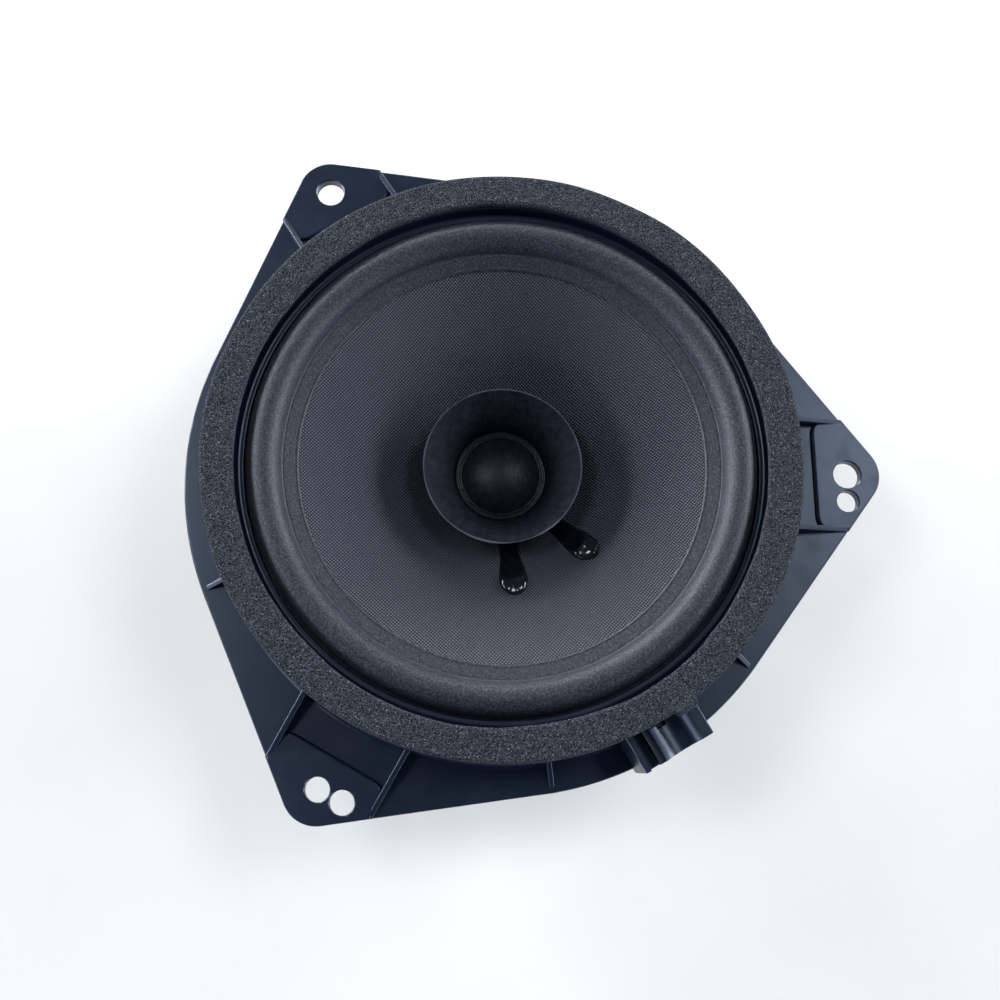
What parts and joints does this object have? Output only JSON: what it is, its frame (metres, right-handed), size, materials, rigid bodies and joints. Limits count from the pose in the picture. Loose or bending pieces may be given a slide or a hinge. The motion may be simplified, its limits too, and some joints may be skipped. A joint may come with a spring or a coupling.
{
  "type": "dual-cone car door speaker",
  "caption": "Round dual-cone loudspeaker with a whizzer cone, foam gasket and magnet, on a plastic bracket with three screw ears and a side connector.",
  "frame": {"origin": "centre of the magnet yoke's flat back face", "axes": "+Z along the speaker's axis towards the listener, +X towards the ear whose screw hole is beside a smaller second hole on its -Y side"},
  "size_m": [0.2004, 0.1938, 0.068],
  "materials": {
    "black_plastic": "moulded black polypropylene with a soft gloss",
    "gasket_foam": "open-cell charcoal foam",
    "surround_rubber": "matte, finely grained",
    "woven_cone": "coated plain weave",
    "black_paper": "matte pressed paper",
    "black_glue": "glossy set glue",
    "coil_former": "film",
    "copper_wire": "enamelled",
    "spider_cloth": "resin-dipped cotton",
    "plated_steel": "zinc plated",
    "ferrite": "ground ceramic",
    "rivet_steel": "plated",
    "tinsel_wire": "braided",
    "tinned_brass": "tin plated",
    "solder": "bright solder"
  },
  "bodies": {
    "frame_body": {"basket_frame": "black_plastic", "foam_gasket": "gasket_foam", "surround": "surround_rubber", "spider": "spider_cloth", "top_plate": "plated_steel", "ring_magnet": "ferrite", "magnet_yoke": "plated_steel", "plate_rivet_1": "rivet_steel", "plate_rivet_2": "rivet_steel", "plate_rivet_3": "rivet_steel", "plate_rivet_4": "rivet_steel", "tinsel_lead_1": "tinsel_wire", "tinsel_lead_2": "tinsel_wire", "terminal_blade_1": "tinned_brass", "terminal_blade_2": "tinned_brass", "solder_joint_1": "solder", "solder_joint_2": "solder"},
    "cone_body": {"cone": "woven_cone", "whizzer_cone": "black_paper", "neck_glue_ring": "black_glue", "dust_cap": "black_paper", "voice_coil_former": "coil_former", "voice_coil_winding": "copper_wire", "lead_glue_1": "black_glue", "lead_glue_2": "black_glue"}
  },
  "joints": [
    {"name": "cone_excursion", "type": "slide", "parent": "frame_body", "child": "cone_body", "axis": [0, 0, 1], "range_m": [-0.004, 0.004], "stiffness_N_per_m": 1250, "deforming": ["surround", "spider", "tinsel_lead_1", "tinsel_lead_2"]}
  ]
}
